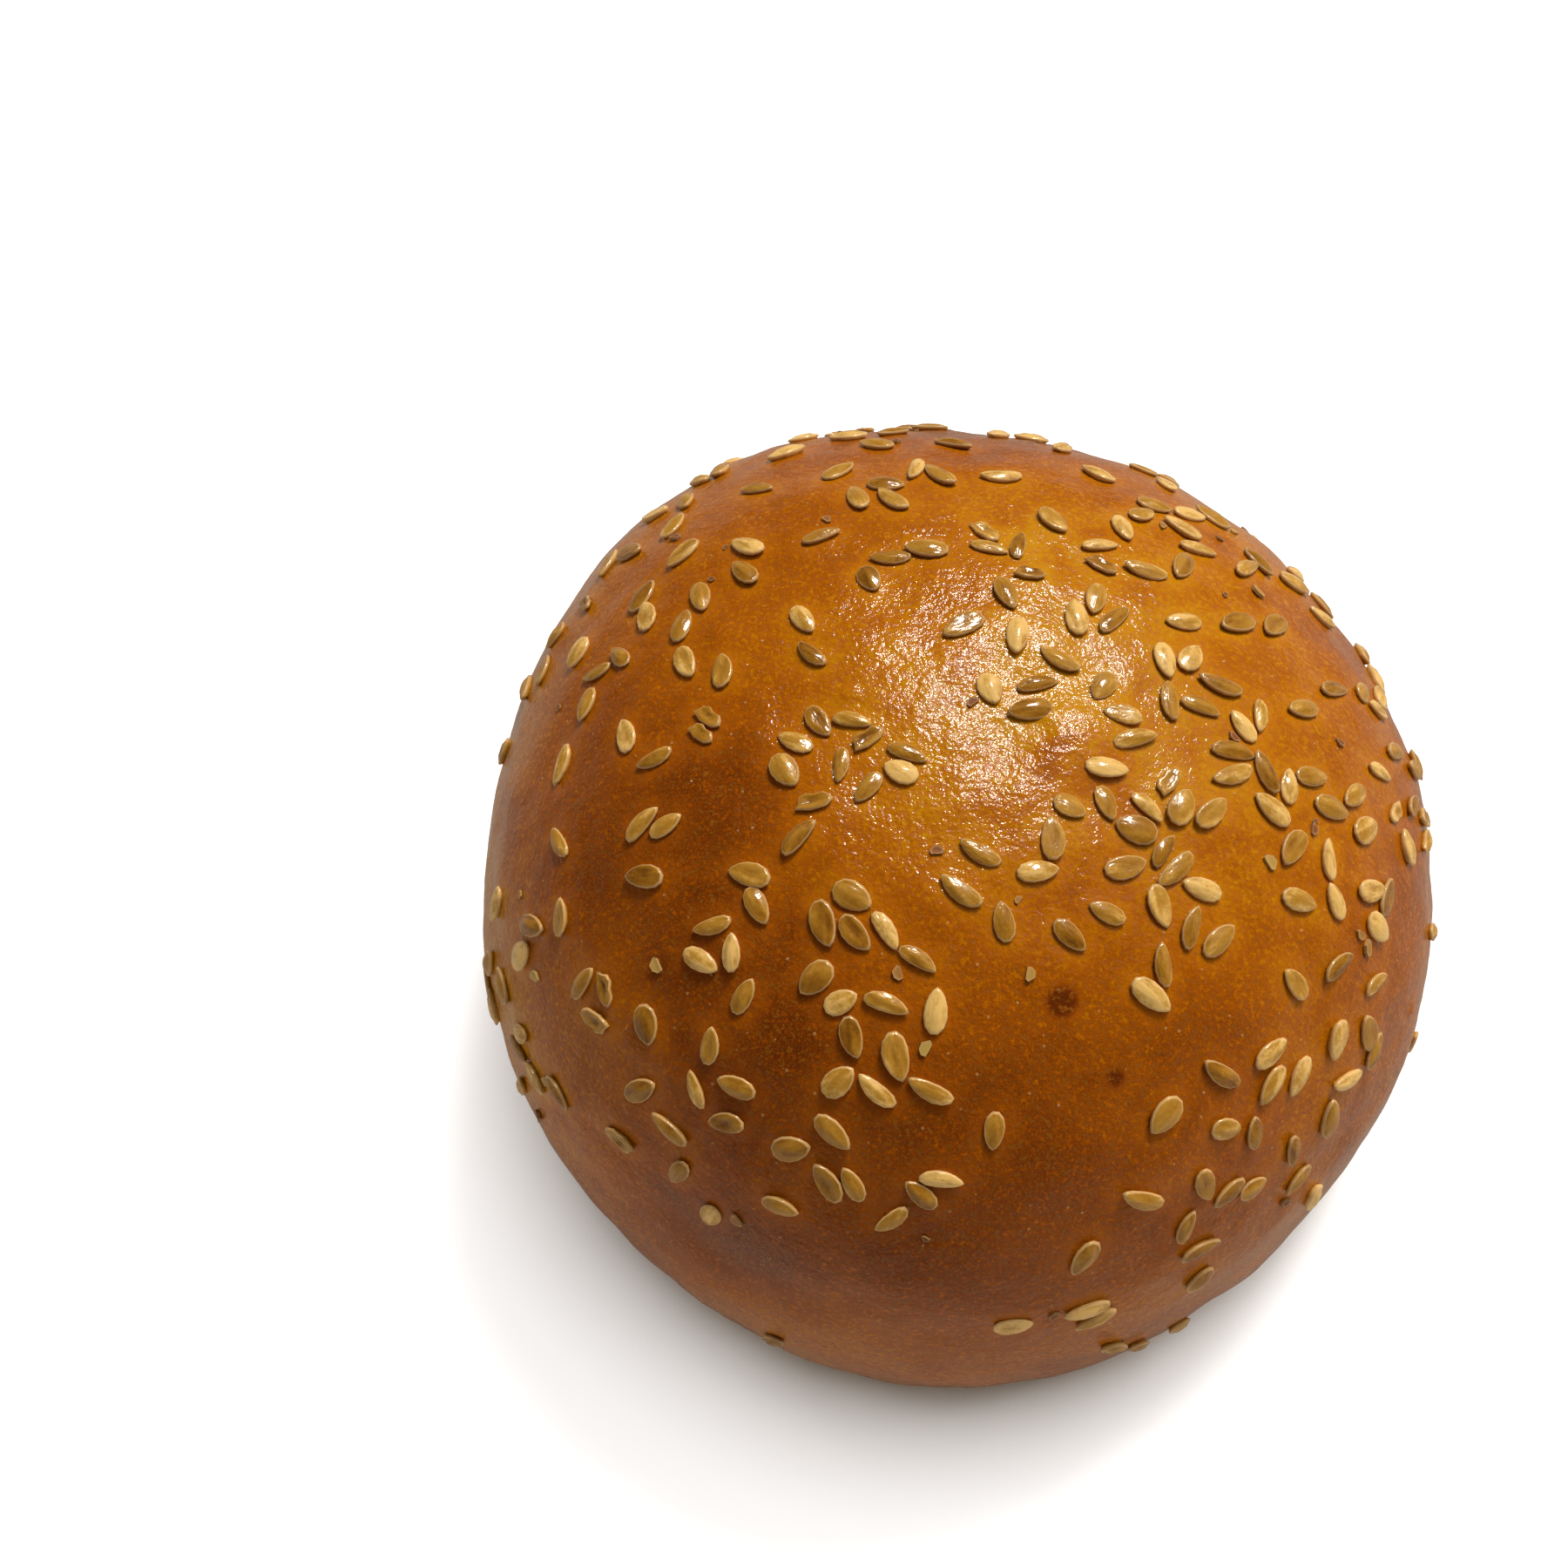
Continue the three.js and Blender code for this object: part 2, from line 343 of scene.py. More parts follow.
# Relief of the skin: soft swells between the clumps, fine ripples, little blisters where gas
# came up, and one low lump on the crown
lump_at = baked(smooth_point(np.array([radians(340)]), 0.0125))[0]
relief = {
    "Pattern Start": ("Float", 131.0),
    "Swell Height": ("Float", 0.0012),
    "Swell Size": ("Float", 0.011),
    "Ripple Height": ("Float", 0.00045),
    "Ripple Size": ("Float", 0.0042),
    "Blister Height": ("Float", 0.00032),
    "Blister Spacing": ("Float", 0.0085),
    "Lump At": ("Vector", tuple(lump_at)),
    "Lump Radius": ("Float", 0.0065),
    "Lump Height": ("Float", 0.0006),
    "Flat Edge Rise": ("Float", flat_edge_rise),
    "Seed Marks": ("Object", seed_marks_object),
    "Halo": ("Float", 0.0030),
    "Seed Edge": ("Float", 0.0006),
    "Foot Stays Flat To": ("Float", 0.0004),
}


def crust_relief_tree():
    """Lifts the skin along its normals, and marks how near each point lies to a seed."""
    tree, given = shape_tree("crust relief", relief)
    place = add_node(tree, "GeometryNodeInputPosition")
    height = add_node(tree, "ShaderNodeSeparateXYZ", values=(place,), output="Z")
    rise = height.over(given["Foot Stays Flat To"], given["Flat Edge Rise"])
    swell, ripple = (
        add_node(tree, "ShaderNodeTexNoise", {"noise_dimensions": "4D"}, {
            "Vector": place, "W": given["Pattern Start"], "Scale": 1 / size, "Detail": detail}) - 0.5
        for size, detail in ((given["Swell Size"], 1.0), (given["Ripple Size"], 2.0)))
    cell = {"Vector": place, "Scale": 1 / given["Blister Spacing"]}
    from_cell = add_node(tree, "ShaderNodeTexVoronoi", values=cell, output="Distance")
    cell_colour = add_node(tree, "ShaderNodeTexVoronoi", values=cell, output="Color")
    lot = add_node(tree, "ShaderNodeSeparateXYZ", values=(cell_colour,), output="X")
    dome = from_cell.over(0.16, 0.0) * lot.over(0.7, 0.95)
    lift = rise * (swell * given["Swell Height"] + ripple * given["Ripple Height"])
    lift = lift + rise * dome * given["Blister Height"]
    from_lump = add_node(tree, "ShaderNodeVectorMath", {"operation": "DISTANCE"},
                         {0: place, 1: given["Lump At"]}, output="Value")
    lift = lift + from_lump.over(given["Lump Radius"], 0.0) * given["Lump Height"]
    normal = add_node(tree, "GeometryNodeInputNormal")
    offset = add_node(tree, "ShaderNodeVectorMath", {"operation": "SCALE"}, {0: normal, "Scale": lift})
    moved = add_node(tree, "GeometryNodeSetPosition", values={
        "Geometry": given["Geometry"], "Offset": offset})
    marks = add_node(tree, "GeometryNodeObjectInfo", values={"Object": given["Seed Marks"]},
                     output="Geometry")
    nearest = add_node(tree, "GeometryNodeProximity", {"target_element": "POINTS"}, {0: marks},
                       output="Distance")
    halo = nearest.over(given["Halo"], given["Seed Edge"])
    stored = add_node(tree, "GeometryNodeStoreNamedAttribute", {
        "data_type": "FLOAT", "domain": "POINT"}, {"Geometry": moved, "Name": "by_seed", "Value": halo})
    add_node(tree, "NodeGroupOutput", values=(stored,))
    return tree


def surface(name):
    """A new material, its tree, its Principled shader and the Object coordinates."""
    material = bpy.data.materials.new(name)
    material.use_nodes = True
    tree = material.node_tree
    shader = tree.nodes["Principled BSDF"]
    coordinates = add_node(tree, "ShaderNodeTexCoord", output="Object")
    return material, tree, shader, coordinates


def noise(tree, place, size, detail=2.0, roughness=0.5):
    """An even cloudy pattern between 0 and 1, with lumps of about a size in metres."""
    values = {"Vector": place, "Scale": 1 / size, "Detail": detail, "Roughness": roughness}
    return add_node(tree, "ShaderNodeTexNoise", values=values)


def blend(tree, share, first, second):
    """One colour turned into another by a share."""
    first, second = (tone if isinstance(tone, Wire) else (*tone, 1) for tone in (first, second))
    return add_node(tree, "ShaderNodeMix", {"data_type": "RGBA"}, {0: share, 6: first, 7: second})


# Where the oven browned it more or less, with one spot of painted shade and one of partly
# painted highlight: direction faced, way down from the crown, radius, shift
bakings_and_painted_light = [
    (10, 0.0260, 0.0210, -0.44),
    (345, 0.0370, 0.0150, 0.14),
    (40, 0.0100, 0.0160, -0.12),
    # Partly painted highlight: lighter gold on the crown top under the window's shine, partly the
    # glaze's own gold
    (285, 0.0060, 0.0120, -0.22),
    (90, 0.0640, 0.0300, 0.40),
    (90, 0.0440, 0.0180, 0.20),
    (5, 0.0600, 0.0200, 0.26),
    (150, 0.0300, 0.0180, 0.15),
    (205, 0.0330, 0.0220, 0.20),
    (198, 0.0230, 0.0140, 0.18),
    (236, 0.0340, 0.0110, 0.20),
    (20, 0.0320, 0.0170, 0.30),
    (310, 0.0440, 0.0140, 0.10),
    (262, 0.0400, 0.0240, 0.37),
    (290, 0.0460, 0.0180, 0.18),
    (302, 0.0550, 0.0110, 0.14),
    (278, 0.0500, 0.0100, -0.12),
    (195, 0.0660, 0.0260, -0.34),
    (265, 0.0760, 0.0220, -0.03),
    # Painted shade: darker crust in the hollow on the low flank at 246 degrees, where shade falls
    (246, 0.0570, 0.0100, 0.28),
    (334, 0.0160, 0.0032, 0.18),
    (327, 0.0190, 0.0016, 0.25),
    (290, 0.0285, 0.0014, 0.8),
    (294, 0.0360, 0.0009, 0.5),
    (297, 0.0410, 0.0008, 0.6),
]
smallest_soft_edge = 0.0030
gold_to_brown = [
    (0.0, (0.51, 0.210, 0.004)),
    (0.3, (0.44, 0.135, 0.001)),
    (0.55, (0.34, 0.079, 0.0005)),
    (0.8, (0.215, 0.043, 0.001)),
    (1.0, (0.12, 0.022, 0.001)),
]
tray_browns = [
    (0.0, (0.60, 0.370, 0.155)),
    (0.35, (0.47, 0.235, 0.072)),
    (0.7, (0.33, 0.130, 0.028)),
    (1.0, (0.20, 0.062, 0.012)),
]
grain_gold = (0.56, 0.190, 0.010)
fleck_cream = (0.62, 0.31, 0.09)
# Greyish mauve laid on the low flank: a painted reflection of the pale floor in the glaze
painted_sheen_mauve = (0.38, 0.215, 0.165)
unbrowned_dough = (0.64, 0.43, 0.205)
broad_size, patch_size, grain_size = 0.021, 0.0060, 0.00045
fleck_spacing = 0.0011
wrinkle_size, pebble_size = 0.0005, 0.0017
skin_depth = 0.00016


def crust_material():
    """Egg-glazed crust: gold to brown in soft patches, with fine grain and pale specks. Its low
    flank carries a painted greyish-mauve reflection of the pale floor, then a pale ring, and
    its foot is mottled by the tray."""
    material, tree, shader, place = surface("egg-glazed crust")
    z = add_node(tree, "ShaderNodeSeparateXYZ", values=(place,), output="Z")
    broad = noise(tree, place, broad_size, 1.5)
    patch = noise(tree, place, patch_size, 4.0, 0.6)
    grain = noise(tree, place, grain_size, 2.0, 0.7)
    by_seed = add_node(tree, "ShaderNodeAttribute", {"attribute_name": "by_seed"}, output="Fac")
    browning_and_painted_light = 0.52 + (broad - 0.5) * 0.7 + (patch - 0.5) * 0.6 + (grain - 0.5) * 1.55
    browning_and_painted_light = browning_and_painted_light - by_seed * grain.over(0.25, 0.6) * 0.25
    for faces, from_top, radius, shift in bakings_and_painted_light:
        spot = baked(smooth_point(np.array([radians(faces)]), from_top))[0]
        ragged = grain if radius < smallest_soft_edge else patch
        away = add_node(tree, "ShaderNodeVectorMath", {"operation": "DISTANCE"},
                        {0: place, 1: tuple(spot)}, output="Value") + (ragged - 0.5) * radius * 1.6
        browning_and_painted_light = browning_and_painted_light + away.over(radius * 1.3, radius * 0.1) * shift
    tone = add_node(tree, "ShaderNodeValToRGB", {"stops": gold_to_brown}, (browning_and_painted_light,))
    fleck_cell = {"Vector": place, "Scale": 1 / fleck_spacing, "Randomness": 1.0}
    fleck_far = add_node(tree, "ShaderNodeTexVoronoi", values=fleck_cell, output="Distance")
    fleck_lot = add_node(tree, "ShaderNodeTexVoronoi", values=fleck_cell, output="Color")
    lot = add_node(tree, "ShaderNodeSeparateColor", values=(fleck_lot,))
    fleck = fleck_far.over(0.17, 0.07) * lot.over(0.72, 0.85)
    tone = blend(tree, grain.over(0.5, 0.64) * 0.28, tone, grain_gold)
    tone = blend(tree, fleck * 0.5, tone, fleck_cream)
    # Painted reflection: greyish mauve over the flank below about 24 mm, fullest below 10 mm
    painted_sheen_share = (z + (patch - 0.5) * 0.008 + (broad - 0.5) * 0.010).over(0.024, 0.010)
    tone = blend(tree, painted_sheen_share * 0.27, tone, painted_sheen_mauve)
    ring = (z + (patch - 0.5) * 0.006).over(0.0085, 0.003)
    tone = blend(tree, ring * 0.8, tone, unbrowned_dough)
    under = z.over(0.0012, 0.0003)
    from_middle = add_node(tree, "ShaderNodeVectorMath", {"operation": "LENGTH"}, {0: place},
                           output="Value")
    edge = (from_middle + (patch - 0.5) * 0.008).over(0.031, 0.040)
    trayed = 0.5 + (broad - 0.5) * 0.9 + (patch - 0.5) * 1.5 + (grain - 0.5) * 0.7
    trayed = trayed - edge * 0.36 + fleck * 0.25
    tray_tone = add_node(tree, "ShaderNodeValToRGB", {"stops": tray_browns}, (trayed,))
    tone = blend(tree, under, tone, tray_tone)
    tree.links.new(tone.socket, shader.inputs["Base Color"])
    wrinkle = noise(tree, place, wrinkle_size, 2.0, 0.6)
    pebble = noise(tree, place, pebble_size, 2.0)
    bumps = wrinkle * 0.7 + pebble * 0.9 + fleck * 0.3
    bump = add_node(tree, "ShaderNodeBump", values={
        "Strength": 1.0, "Distance": skin_depth, "Height": bumps})
    tree.links.new(bump.socket, shader.inputs["Normal"])
    gloss = 0.09 + patch * 0.06 + grain.over(0.42, 0.62) * 0.10 + ring * 0.25 + under * 0.3
    tree.links.new(gloss.socket, shader.inputs["Roughness"])
    shader.inputs["Specular IOR Level"].default_value = 0.26
    return material


crust = turned_crust("crust", around=400, foot_rings=26, crust_rings=188)
grown(crust, crust_relief_tree(), relief)
bpy.data.objects.remove(seed_marks_object)
crust.data.materials.clear()
crust.data.materials.append(crust_material())
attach(crust, "root")
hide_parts("roll")

# Sesame seeds: toasted, tear-shaped and about 3.6 mm long, strewn before baking and stuck on by
# the glaze. Five kinds fell: plump, slim, hollow-faced, broad, and split ones with torn hulls.
seed_thickness = 0.00105
seed_sunk_share = 0.3
middle_height = 0.58
kind_start = 977
seed_sides = 13
tip_nub = 0.07
narrowing = 0.13
tip_crowding = 0.15
dish_reach = 0.80
kinds = {
    "plump": {"share": 0.36, "long": 1.03, "wide": 1.02, "hollow": 0.0, "bend": 0.0, "torn": 0.0},
    "slim": {"share": 0.24, "long": 1.07, "wide": 0.82, "hollow": 0.15, "bend": 0.12, "torn": 0.0},
    "hollow": {"share": 0.18, "long": 1.03, "wide": 1.06, "hollow": 0.85, "bend": -0.06, "torn": 0.0},
    "broad": {"share": 0.14, "long": 0.92, "wide": 1.18, "hollow": 0.1, "bend": 0.0, "torn": 0.0},
    "split": {"share": 0.08, "long": 0.95, "wide": 1.05, "hollow": 1.2, "bend": 0.06, "torn": 0.4},
}

# From the middle of the face outwards and under: share of the way out, height, paleness of rim
seed_rings = [(0.46, 0.86, 0), (0.80, 0.42, 0), (0.92, 0.36, 0.9), (1.0, 0.0, 0.8), (0.74, -0.86, 0)]


def seed_shape(name, kind):
    """One seed lying along X with its tip forwards: a pillowy tear with a thin raised rim."""
    half_long = seed_length * kind["long"] / 2
    half_wide = seed_width * kind["wide"] / 2
    half_thick = seed_thickness / 2
    tears = seeded_draws(kind_start + len(name))
    torn = [kind["torn"] * next(tears) for _ in range(seed_sides)]
    points = []
    rims = []
    dish_shades = []
    for out, height, rim in seed_rings:
        for i in range(seed_sides):
            turn = 2 * pi * i / seed_sides
            turn = turn - tip_crowding * sin(turn)
            nub = tip_nub * max(0, cos(turn)) ** 18
            reach = out * (1 - torn[i] * (cos(turn) < 0.3))
            x = reach * (cos(turn) + nub)
            y = reach * sin(turn) * (1 - narrowing * cos(turn))
            y = y + kind["bend"] * (1 - 2 * x * x)
            dish = kind["hollow"] * max(0, 1 - out / dish_reach) if height > 0 else 0
            points.append((x * half_long, y * half_wide, (height - dish) * half_thick))
            rims.append(rim)
            dish_shades.append(dish)
    middle = (-0.1 * half_long, kind["bend"] * half_wide)
    points.append((*middle, (1 - kind["hollow"]) * half_thick))
    points.append((*middle, -half_thick))
    rims += [0, 0]
    dish_shades += [kind["hollow"], 0]
    faces = []
    for ring in range(len(seed_rings) - 1):
        for i in range(seed_sides):
            a, b = ring * seed_sides + i, ring * seed_sides + (i + 1) % seed_sides
            faces.append((a, a + seed_sides, b + seed_sides, b))
    top, bottom = len(points) - 2, len(points) - 1
    last = (len(seed_rings) - 1) * seed_sides
    for i in range(seed_sides):
        faces.append((top, i, (i + 1) % seed_sides))
        faces.append((bottom, last + (i + 1) % seed_sides, last + i))
    mesh = bpy.data.meshes.new(name)
    mesh.from_pydata(points, [], faces)
    mesh.shade_smooth()
    # Each point keeps how deep its face is dished, for the painted shade in the dish
    for label, values in (("rim", rims), ("dip", dish_shades)):
        mesh.attributes.new(label, "FLOAT", "POINT").data.foreach_set("value", values)
    own = mesh.attributes.new("own", "FLOAT_VECTOR", "POINT")
    own.data.foreach_set("vector", [part / half_wide for point in points for part in point])
    shape = bpy.data.objects.new(name, mesh)
    bpy.context.scene.collection.objects.link(shape)
    return shape


drop_height = 0.003


def dusting_tree(inputs):
    """Drops a thing on the skin at every marked point, turned to its own frame, as real mesh."""
    tree, given = shape_tree("dusting", inputs)

    def marked(name, kind):
        return add_node(tree, "GeometryNodeInputNamedAttribute", {"data_type": kind}, {"Name": name})

    out = marked("out", "FLOAT_VECTOR")
    above = add_node(tree, "ShaderNodeVectorMath", {"operation": "MULTIPLY_ADD"}, {
        0: out, 1: (drop_height,) * 3, 2: add_node(tree, "GeometryNodeInputPosition")})
    down = add_node(tree, "ShaderNodeVectorMath", {"operation": "SCALE"}, {0: out, "Scale": -1.0})
    skin = add_node(tree, "GeometryNodeObjectInfo", values={"Object": given["Skin"]}, output="Geometry")
    landed = add_node(tree, "GeometryNodeRaycast", values={
        "Target Geometry": skin, "Source Position": above, "Ray Direction": down,
        "Ray Length": 2 * drop_height}, output="Hit Position")
    held = add_node(tree, "ShaderNodeVectorMath", {"operation": "SCALE"}, {
        0: out, "Scale": marked("rise", "FLOAT")})
    dropped = add_node(tree, "GeometryNodeSetPosition", values={
        "Geometry": given["Geometry"], "Position": landed, "Offset": held})
    dots = add_node(tree, "GeometryNodeMeshToPoints", values={0: dropped})
    upright = add_node(tree, "FunctionNodeAlignRotationToVector", {"axis": "Z"}, {"Vector": out})
    turned = add_node(tree, "FunctionNodeAlignRotationToVector", {"axis": "X", "pivot_axis": "Z"}, {
        "Rotation": upright, "Vector": marked("tip", "FLOAT_VECTOR")})
    lean = add_node(tree, "ShaderNodeCombineXYZ", values=(marked("lean", "FLOAT"),))
    tilted = add_node(tree, "FunctionNodeEulerToRotation", values=(lean,))
    leaning = add_node(tree, "FunctionNodeRotateRotation", {"rotation_space": "LOCAL"}, (turned, tilted))
    shape = add_node(tree, "GeometryNodeObjectInfo", values={"Object": given["Shape"]},
                     output="Geometry")
    laid = add_node(tree, "GeometryNodeInstanceOnPoints", values={
        "Points": dots, "Instance": shape, "Rotation": leaning, "Scale": marked("size", "FLOAT")})
    tinted = add_node(tree, "GeometryNodeStoreNamedAttribute", {
        "data_type": "FLOAT", "domain": "INSTANCE"}, {
        "Geometry": laid, "Name": "tint", "Value": marked("tint", "FLOAT")})
    real = add_node(tree, "GeometryNodeRealizeInstances", values=(tinted,))
    finished = add_node(tree, "GeometryNodeSetMaterial", values={
        "Geometry": real, "Material": given["Finish"]})
    add_node(tree, "NodeGroupOutput", values=(finished,))
    return tree


def marked_points(name, places):
    """A mesh of loose points, each with the frame, size, lean and tint of the thing laid there."""
    mesh = bpy.data.meshes.new(name)
    mesh.from_pydata([tuple(place["at"]) for place in places], [], [])
    for key, kind in (("out", "FLOAT_VECTOR"), ("tip", "FLOAT_VECTOR"), ("rise", "FLOAT"),
                      ("size", "FLOAT"), ("lean", "FLOAT"), ("tint", "FLOAT")):
        attribute = mesh.attributes.new(key, kind, "POINT")
        slot = "vector" if kind == "FLOAT_VECTOR" else "value"
        attribute.data.foreach_set(slot, np.array([place[key] for place in places]).ravel())
    piece = bpy.data.objects.new(name, mesh)
    bpy.context.scene.collection.objects.link(piece)
    return piece


def laid_piece(name, places, shape, material):
    """One piece for one kind: its shape laid on all its places, as plain mesh."""
    inputs = {"Shape": ("Object", shape), "Skin": ("Object", crust), "Finish": ("Material", material)}
    piece = grown(marked_points(name, places), dusting_tree(inputs), inputs)
    bpy.data.objects.remove(shape)
    return piece


toasted_tans = [
    (0.0, (0.19, 0.065, 0.004)),
    (0.3, (0.33, 0.135, 0.009)),
    (0.7, (0.47, 0.225, 0.028)),
    (1.0, (0.76, 0.450, 0.125)),
]
pale_rim = (0.74, 0.47, 0.21)
ridge_stretch = (0.45, 1.5, 0.4)
hull_grain_size = 0.0003
hull_depth = 0.00016


def seed_material():
    """Toasted hull: tan to olive gold from seed to seed, ridged along, with a paler rim.
    Painted shade darkens the dished faces.
    """
    material, tree, shader, place = surface("toasted sesame hull")
    tint, rim, dip = (
        add_node(tree, "ShaderNodeAttribute", {"attribute_name": name}, output="Fac")
        for name in ("tint", "rim", "dip"))
    own = add_node(tree, "ShaderNodeAttribute", {"attribute_name": "own"}, output="Vector")
    drawn_out = add_node(tree, "ShaderNodeVectorMath", {"operation": "MULTIPLY"},
                         {0: own, 1: ridge_stretch})
    ridges = add_node(tree, "ShaderNodeTexNoise", {"noise_dimensions": "4D"}, {
        "Vector": drawn_out, "W": tint * 61, "Scale": 1.0, "Detail": 2.0})
    grain = noise(tree, place, hull_grain_size, 2.0)
    # Painted shade: the deeper a seed's face is dished, the darker its tone
    shade = tint + (ridges - 0.5) * 1.3 + (grain - 0.5) * 0.4 - dip * 0.22
    tone = add_node(tree, "ShaderNodeValToRGB", {"stops": toasted_tans}, (shade,))
    tone = blend(tree, rim.over(0.4, 0.9) * 0.5, tone, pale_rim)
    tree.links.new(tone.socket, shader.inputs["Base Color"])
    bump = add_node(tree, "ShaderNodeBump", values={
        "Strength": 1.0, "Distance": hull_depth, "Height": ridges + grain * 0.15})
    tree.links.new(bump.socket, shader.inputs["Normal"])
    shader.inputs["Roughness"].default_value = 0.2
    return material


darkest_seed, tint_range = 0.2, 0.82
hull = seed_material()
lots = seeded_draws(kind_start)
heaps = {name: [] for name in kinds}
for seed in seeds:
    lot = next(lots)
    for name, kind in kinds.items():
        lot -= kind["share"]
        if lot < 0:
            break
    rise = seed_thickness * seed["size"] * (middle_height - seed_sunk_share)
    tint = darkest_seed + tint_range * next(lots)
    heaps[name].append({**seed, "rise": rise, "lean": radians(seed["lean"]), "tint": tint})
for name, kind in kinds.items():
    piece = laid_piece(f"sesame_{name}", heaps[name], seed_shape(f"{name}_shape", kind), hull)
    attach(piece, "root")
    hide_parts("roll")

# Husk flakes: torn hulls and broken kernels, about a millimetre across, that came off the
# seeds as they were strewn. Thin curled chips, dark red-brown to straw, stuck down by the glaze.
flake_start = 4099
flakes = 40
flake_width = 0.0009
flake_thickness = 0.00022
flake_corners = 7
flake_curl = 350
nearest_drop, drop_spread = 0.0018, 0.003
clear_of_seeds = 0.0014
lowest_flake = 0.072
trial_ways = np.linspace(0.0005, crust_length, 800)


def flake_shape(name):
    """One torn chip, curled up along its length, lying in XY."""
    draws = seeded_draws(flake_start)
    rim = []
    for i in range(flake_corners):
        turn = 2 * pi * (i + 0.5 * next(draws)) / flake_corners
        reach = flake_width / 2 * (0.7 + 0.6 * next(draws))
        rim.append((1.25 * reach * cos(turn), 0.85 * reach * sin(turn)))
    points = []
    for level in (0, flake_thickness):
        points += [(x, y, level + flake_curl * y * y) for x, y in rim]
    points += [(0, 0, 0), (0, 0, flake_thickness)]
    faces = []
    for i in range(flake_corners):
        after = (i + 1) % flake_corners
        faces.append((i, after, after + flake_corners, i + flake_corners))
        faces.append((after, i, 2 * flake_corners))
        faces.append((i + flake_corners, after + flake_corners, 2 * flake_corners + 1))
    mesh = bpy.data.meshes.new(name)
    mesh.from_pydata(points, [], faces)
    edge = mesh.attributes.new("rim", "FLOAT", "POINT")
    edge.data.foreach_set("value", [1] * (2 * flake_corners) + [0, 0])
    shape = bpy.data.objects.new(name, mesh)
    bpy.context.scene.collection.objects.link(shape)
    return shape


def strewn_flakes():
    """Flakes within a few millimetres of a seed, and clear of every seed."""
    draws = seeded_draws(flake_start)
    discs = np.concatenate([seed["discs"] for seed in seeds])
    places = []
    while len(places) < flakes:
        seed = seeds[int(next(draws) * len(seeds))]
        turn = next(draws) * 2 * pi
        away = nearest_drop + drop_spread * next(draws)
        side = np.cross(seed["out"], seed["tip"])
        near = seed["at"] + away * (seed["tip"] * cos(turn) + side * sin(turn))
        centre = near - outline_shift
        facing = atan2(centre[1], centre[0])
        trials = crust_points(np.outer(trial_ways, (cos(facing), sin(facing))))
        way = trial_ways[int(np.argmin(np.linalg.norm(trials - near, axis=1)))]
        at, out, tip = resting_frame(way * cos(facing), way * sin(facing), next(draws) * 2 * pi)
        if way < lowest_flake and np.linalg.norm(discs - at, axis=1).min() > clear_of_seeds:
            places.append({"at": at, "out": out, "tip": tip, "size": 0.6 + 0.8 * next(draws),
                           "lean": radians(24 * (next(draws) - 0.5)), "tint": next(draws), "rise": 0.0})
    return places


husk_browns = [
    (0.0, (0.15, 0.042, 0.008)),
    (0.6, (0.25, 0.080, 0.018)),
    (0.8, (0.38, 0.180, 0.030)),
    (1.0, (0.46, 0.290, 0.060)),
]
torn_edge = (0.55, 0.33, 0.13)


def flake_material():
    """Torn husk: dark red-brown, straw or greenish yellow from flake to flake."""
    material, tree, shader, _ = surface("torn sesame husk")
    tint, rim = (
        add_node(tree, "ShaderNodeAttribute", {"attribute_name": name}, output="Fac")
        for name in ("tint", "rim"))
    tone = add_node(tree, "ShaderNodeValToRGB", {"stops": husk_browns}, (tint,))
    tone = blend(tree, rim.over(0.5, 1.0) * 0.45, tone, torn_edge)
    tree.links.new(tone.socket, shader.inputs["Base Color"])
    shader.inputs["Roughness"].default_value = 0.6
    shader.inputs["Specular IOR Level"].default_value = 0.2
    return material


husk = flake_material()
husk_flakes = laid_piece("husk_flakes", strewn_flakes(), flake_shape("flake_shape"), husk)
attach(husk_flakes, "root")
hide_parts("roll")

# Floor and light: a plain pale floor before a white backdrop, lit by far soft lamps high behind
# the roll's right shoulder. Floor and room are dimmer in the glaze than they look, so that the
# crust keeps its depth and only the window shines on the crown.
floor_size = 6
floor_drop = 0.0001
bpy.ops.mesh.primitive_plane_add(size=floor_size, location=(0, 0, -floor_drop))
floor = bpy.context.object
floor.name = "floor"
pale, tree, shader, _ = surface("pale floor")
mirrored = add_node(tree, "ShaderNodeLightPath", output="Is Glossy Ray")
looked_at = add_node(tree, "ShaderNodeLightPath", output="Is Camera Ray")
bounced_tone, mirrored_tone, floor_tone = (0.42, 0.415, 0.41), (0.195, 0.172, 0.144), (0.70, 0.69, 0.68)
seen = blend(tree, mirrored, bounced_tone, mirrored_tone)
seen = blend(tree, looked_at, seen, floor_tone)
tree.links.new(seen.socket, shader.inputs["Base Color"])
# Painted bounce light: the floor glows faintly for diffuse rays alone, though it is no lamp
bounced_glow = 0.2
glow = bounced_glow - mirrored * bounced_glow - looked_at * bounced_glow
tree.links.new(glow.socket, shader.inputs["Emission Strength"])
shader.inputs["Emission Color"].default_value = (1, 1, 1, 1)
shader.inputs["Roughness"].default_value = 0.7
shader.inputs["Specular IOR Level"].default_value = 0.1
floor.data.materials.append(pale)


def far_lamp(name, way, width, strength):
    """A soft disc of light, far off in a direction, that looks as wide as an angle in degrees."""
    lamp = bpy.data.objects.new(name, bpy.data.lights.new(name, "SUN"))
    bpy.context.scene.collection.objects.link(lamp)
    lamp.data.angle = radians(width)
    lamp.data.energy = strength
    lamp.rotation_euler = Vector(way).to_track_quat("Z", "Y").to_euler()
    return lamp


# The window gives the shine alone, and its spread and the wall's bounce give the light alone
window = far_lamp("window", (0.16, 0.575, 0.86), 6.4, 3.1)
window.visible_diffuse = False
window.data.color = (1.0, 0.94, 0.83)
far_lamp("window's spread", (0.30, 0.50, 0.84), 16, 2.2).visible_glossy = False
far_lamp("bounce off the wall", (0.45, 0.38, 0.80), 50, 1.6).visible_glossy = False

